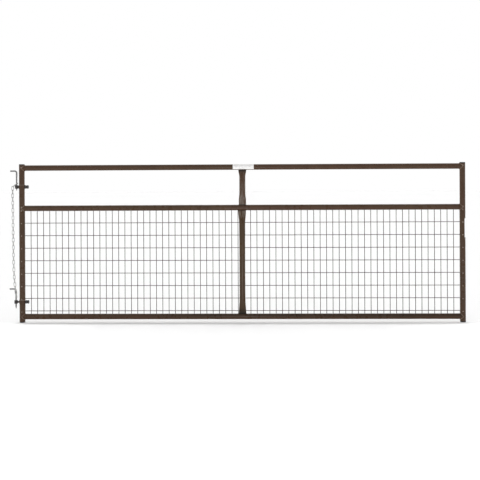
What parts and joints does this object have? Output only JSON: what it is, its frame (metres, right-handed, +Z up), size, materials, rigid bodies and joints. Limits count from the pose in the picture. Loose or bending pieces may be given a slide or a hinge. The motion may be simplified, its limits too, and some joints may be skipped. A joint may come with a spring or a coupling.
{
  "type": "field gate",
  "caption": "Tubular field gate with a welded wire mesh lower bay, a centre brace, eye bolt hinges with screw hooks, and a latch chain.",
  "frame": {"origin": "centre of the bottom face of the hinge upright's lower end plug", "axes": "+X along the gate from the hinge end to the latch end, -Y towards the front, +Z up along the uprights"},
  "size_m": [3.6593, 0.0609, 1.275],
  "materials": {
    "frame_paint": "dark brown satin paint on steel tube",
    "mesh_paint": "dark brown satin paint on welded wire",
    "dark_steel": "near black satin finish on steel",
    "zinc_hook": "dull zinc plate",
    "zinc_chain": "light zinc plate",
    "plug_plastic": "matt black moulded plastic",
    "label_film": "plain white film, left blank"
  },
  "bodies": {
    "gate": {"hinge_upright": "frame_paint", "latch_upright": "frame_paint", "top_rail": "frame_paint", "middle_rail": "frame_paint", "bottom_rail": "frame_paint", "upper_brace": "frame_paint", "lower_brace": "frame_paint", "vertical_wires": "mesh_paint", "horizontal_wires": "mesh_paint", "mesh_tacks": "frame_paint", "upright_weld_spots": "frame_paint", "end_plugs": "plug_plastic", "blank_label": "label_film", "upper_hinge_collar": "frame_paint", "lower_hinge_collar": "frame_paint", "upper_hinge_bolt": "dark_steel", "lower_hinge_bolt": "dark_steel", "upper_hinge_nuts": "dark_steel", "lower_hinge_nuts": "dark_steel"},
    "upper_hook": {"upper_screw_hook": "zinc_hook"},
    "lower_hook": {"lower_screw_hook": "zinc_hook"},
    "chain_ring": {"chain_ring": "zinc_chain"},
    "chain_a": {"chain_links_a": "zinc_chain"},
    "chain_b": {"chain_links_b": "zinc_chain"},
    "chain_c": {"chain_links_c": "zinc_chain"},
    "chain_d": {"chain_links_d": "zinc_chain"}
  },
  "joints": [
    {"name": "upper_hook_swing", "type": "hinge", "parent": "gate", "child": "upper_hook", "pos_m": [-0.0425, 0, 1.092], "axis": [0, 0, 1], "range_deg": [-125, 125]},
    {"name": "lower_hook_swing", "type": "hinge", "parent": "gate", "child": "lower_hook", "pos_m": [-0.051, 0, 0.165], "axis": [0, 0, 1], "range_deg": [-125, 0]},
    {"name": "ring_swing", "type": "hinge", "parent": "gate", "child": "chain_ring", "pos_m": [-0.0425, 0, 1.11628], "axis": [0, 0, 1], "range_deg": [0, 25]},
    {"name": "chain_a_swing", "type": "hinge", "parent": "chain_ring", "child": "chain_a", "pos_m": [-0.0757, 0.00036, 1.0988], "axis": [0.9999, 0, 0.0147], "range_deg": [-25, 0]},
    {"name": "chain_b_swing", "type": "hinge", "parent": "chain_a", "child": "chain_b", "pos_m": [-0.0722, -0.00461, 0.86048], "axis": [0.9999, 0, 0.0147], "range_deg": [-25, 0]},
    {"name": "chain_c_swing", "type": "hinge", "parent": "chain_b", "child": "chain_c", "pos_m": [-0.06857, -0.00958, 0.62216], "axis": [0.9998, 0, 0.0177], "range_deg": [-25, 0]},
    {"name": "chain_d_swing", "type": "hinge", "parent": "chain_c", "child": "chain_d", "pos_m": [-0.06153, -0.01455, 0.3839], "axis": [0.9979, 0, 0.0654], "range_deg": [-25, 0]}
  ]
}
